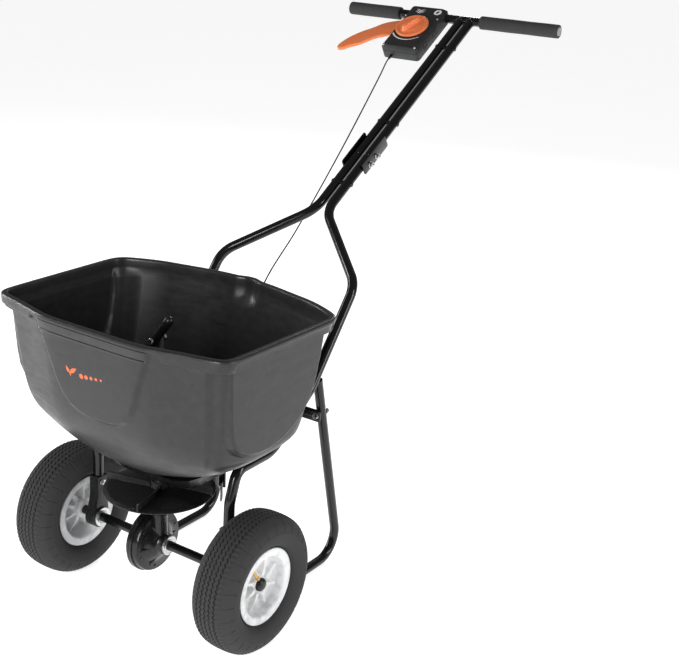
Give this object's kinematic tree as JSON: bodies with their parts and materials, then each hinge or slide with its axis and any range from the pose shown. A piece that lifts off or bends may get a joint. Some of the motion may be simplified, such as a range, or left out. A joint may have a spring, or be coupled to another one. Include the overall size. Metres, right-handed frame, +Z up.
{
  "type": "garden spreader",
  "caption": "Walk-behind broadcast spreader: open hopper on a tube frame with rest legs, pneumatic wheels, geared spinner, T handle, rate dial and shutter lever.",
  "frame": {"origin": "on the ground, at the middle of the bounding box seen from above", "axes": "+X along the axle towards the drive wheel, +Y to the rear where the handle is, +Z up"},
  "size_m": [0.5845, 1.219, 1.0532],
  "materials": {
    "frame_paint": "gloss black paint",
    "hopper_plastic": "satin charcoal black moulded plastic",
    "dark_plastic": "matte black moulded plastic",
    "spinner_plastic": "rough speckled black plastic",
    "box_plastic": "fine grained dark grey plastic",
    "tyre_rubber": "matte black rubber",
    "cable_rubber": "black sheath",
    "grip_foam": "matte black foam",
    "wheel_white": "satin white plastic",
    "orange_plastic": "semi-gloss orange plastic",
    "zinc": "bright zinc plate",
    "brass": "plain brass",
    "steel": "plain steel",
    "plug_grey": "grey plastic"
  },
  "bodies": {
    "frame": {"hopper": "hopper_plastic", "outlet_collar": "dark_plastic", "shutter_rail_left": "dark_plastic", "shutter_rail_right": "dark_plastic", "rear_deflector": "dark_plastic", "handle_tube_left": "frame_paint", "handle_tube_right": "frame_paint", "handle_bar": "frame_paint", "grip_left": "grip_foam", "grip_right": "grip_foam", "bar_plug_left": "plug_grey", "bar_plug_right": "plug_grey", "joint_plate_left": "frame_paint", "joint_plate_right": "frame_paint", "joint_bolt_1": "zinc", "joint_bolt_2": "zinc", "spacer_bolt_top": "frame_paint", "spacer_bolt_middle": "frame_paint", "spacer_bolt_lower": "frame_paint", "control_box_base": "box_plastic", "control_box_cover": "box_plastic", "frame_tube_left": "frame_paint", "frame_tube_right": "frame_paint", "leg_left": "frame_paint", "leg_right": "frame_paint", "leg_bolt_left": "zinc", "leg_bolt_right": "zinc", "foot_plug_left": "dark_plastic", "foot_plug_right": "dark_plastic", "leg_brace": "frame_paint", "axle_bracket_left": "frame_paint", "axle_bracket_right": "frame_paint", "axle_bearing_left": "zinc", "axle_bearing_right": "zinc", "bracket_bolt_left": "zinc", "bracket_bolt_right": "zinc", "gearbox_housing": "frame_paint", "gearbox_cover": "frame_paint", "gearbox_bearing": "zinc", "control_cable": "cable_rubber", "cable_anchor": "frame_paint"},
    "drive": {"axle": "frame_paint", "ring_gear": "dark_plastic", "wheel_rim_right": "wheel_white", "tyre_right": "tyre_rubber", "valve_right": "brass", "drive_pin": "zinc", "axle_cap_left": "dark_plastic", "axle_cap_right": "dark_plastic"},
    "free_wheel": {"wheel_rim_left": "wheel_white", "tyre_left": "tyre_rubber", "valve_left": "brass"},
    "spinner": {"spinner_shaft": "steel", "spinner_disc": "spinner_plastic", "pinion": "steel", "agitator_arm": "dark_plastic", "agitator_bolt": "zinc"},
    "shutter": {"shutter_plate": "steel"},
    "lever": {"shutter_lever": "orange_plastic"},
    "dial": {"rate_dial": "orange_plastic"}
  },
  "joints": [
    {"name": "axle_turn", "type": "hinge", "parent": "frame", "child": "drive", "pos_m": [0.026, -0.432, 0.13], "axis": [1, 0, 0], "continuous": true},
    {"name": "free_wheel_turn", "type": "hinge", "parent": "frame", "child": "free_wheel", "pos_m": [-0.195, -0.432, 0.13], "axis": [1, 0, 0], "continuous": true},
    {"name": "spinner_turn", "type": "hinge", "parent": "frame", "child": "spinner", "pos_m": [0.026, -0.432, 0.25], "axis": [0, 0, 1], "continuous": true},
    {"name": "shutter_slide", "type": "slide", "parent": "frame", "child": "shutter", "axis": [0, 1, 0], "range_m": [0, 0.045]},
    {"name": "lever_squeeze", "type": "hinge", "parent": "frame", "child": "lever", "pos_m": [-0.1, 0.55616, 1.00753], "axis": [0, 0.5388, -0.8425], "range_deg": [0, 22], "stiffness_Nm_per_rad": 2, "springref_deg": -8.59},
    {"name": "dial_turn", "type": "hinge", "parent": "frame", "child": "dial", "pos_m": [-0.075, 0.52294, 1.01121], "axis": [0, -0.5388, 0.8425], "range_deg": [-75, 75]}
  ],
  "couplings": [
    {"joint": "spinner_turn", "follows": "axle_turn", "ratio": 4.75},
    {"joint": "shutter_slide", "follows": "lever_squeeze", "m_per_rad": 0.117}
  ]
}
